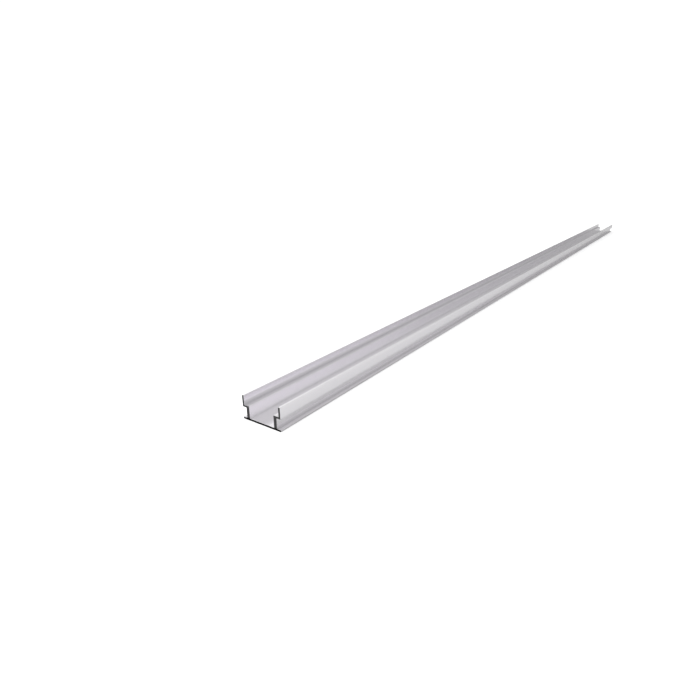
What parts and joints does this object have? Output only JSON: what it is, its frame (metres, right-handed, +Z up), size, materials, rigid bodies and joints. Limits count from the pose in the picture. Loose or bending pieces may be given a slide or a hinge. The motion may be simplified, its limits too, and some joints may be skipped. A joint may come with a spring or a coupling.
{
  "type": "aluminium extrusion profile",
  "caption": "Stepped aluminium channel bar: wide base plate, two thick webs, shoulders that carry a cover, thin outer rims and an open groove along each side.",
  "frame": {"origin": "on the underside of the base plate, at the middle of the bar's length and width", "axes": "+X along the bar, +Y across it, +Z up from the base plate towards the rims"},
  "size_m": [1, 0.027, 0.0139],
  "materials": {
    "anodised_aluminium": "matt silver anodised, with fine lines along the bar; the sawn ends are bare and darker"
  },
  "bodies": {
    "root": {"profile": "anodised_aluminium"}
  },
  "joints": []
}
